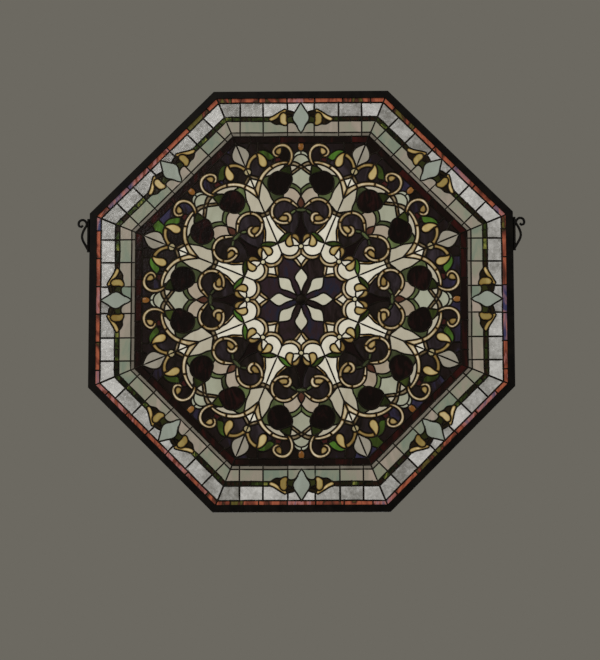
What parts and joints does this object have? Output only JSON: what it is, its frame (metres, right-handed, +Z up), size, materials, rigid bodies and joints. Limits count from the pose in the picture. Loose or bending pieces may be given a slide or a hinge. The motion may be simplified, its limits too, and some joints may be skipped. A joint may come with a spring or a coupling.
{
  "type": "stained glass window",
  "caption": "Octagonal leaded stained glass panel with a scrolled flower rosette, in a dark metal frame with a bent rod hanging hook at each side.",
  "frame": {"origin": "midway between the two side hooks, at the top of their loops, where the hanging chain or wire bears; the panel's centre is 156 mm below it", "axes": "+Z up, the panel stands in the XZ plane, its front faces -Y, +X to the right seen from the front"},
  "size_m": [0.9688, 0.012, 0.9144],
  "materials": {
    "frame_metal": "near-black bronze, satin",
    "hook_metal": "near-black bronze, satin",
    "lead": "dark patinated solder",
    "clear_glass": "clear textured",
    "pale_glass": "pale green and rose opalescent",
    "edge_glass": "streaky opalescent",
    "red_glass": "dark red cathedral",
    "ground_glass": "dark violet and blue opalescent",
    "flower_glass": "grey-blue opalescent",
    "white_glass": "white opalescent",
    "rose_glass": "deep red textured"
  },
  "bodies": {
    "root": {"frame": "frame_metal", "hook_right": "hook_metal", "hook_left": "hook_metal", "lead_matrix": "lead", "edge_strip_glass": "edge_glass", "red_band_glass": "red_glass", "rosette_ground_glass": "ground_glass", "clear_band_glass_1": "clear_glass", "clear_band_glass_2": "clear_glass", "clear_band_glass_3": "clear_glass", "clear_band_glass_4": "clear_glass", "clear_band_glass_5": "clear_glass", "clear_band_glass_6": "clear_glass", "clear_band_glass_7": "clear_glass", "clear_band_glass_8": "clear_glass", "pale_band_glass_1": "pale_glass", "pale_band_glass_2": "pale_glass", "pale_band_glass_3": "pale_glass", "pale_band_glass_4": "pale_glass", "pale_band_glass_5": "pale_glass", "pale_band_glass_6": "pale_glass", "pale_band_glass_7": "pale_glass", "pale_band_glass_8": "pale_glass", "border_flower_glass_1": "flower_glass", "border_flower_glass_2": "flower_glass", "border_flower_glass_3": "flower_glass", "border_flower_glass_4": "flower_glass", "border_flower_glass_5": "flower_glass", "border_flower_glass_6": "flower_glass", "border_flower_glass_7": "flower_glass", "border_flower_glass_8": "flower_glass", "star_petal_glass_1": "white_glass", "star_petal_glass_2": "white_glass", "star_petal_glass_3": "white_glass", "star_petal_glass_4": "white_glass", "star_petal_glass_5": "white_glass", "star_petal_glass_6": "white_glass", "star_petal_glass_7": "white_glass", "star_petal_glass_8": "white_glass", "rose_glass_1": "rose_glass", "rose_glass_2": "rose_glass", "rose_glass_3": "rose_glass", "rose_glass_4": "rose_glass", "rose_glass_5": "rose_glass", "rose_glass_6": "rose_glass", "rose_glass_7": "rose_glass", "rose_glass_8": "rose_glass", "rose_glass_9": "rose_glass", "rose_glass_10": "rose_glass", "rose_glass_11": "rose_glass", "rose_glass_12": "rose_glass", "rose_glass_13": "rose_glass", "rose_glass_14": "rose_glass", "rose_glass_15": "rose_glass", "rose_glass_16": "rose_glass"}
  },
  "joints": []
}
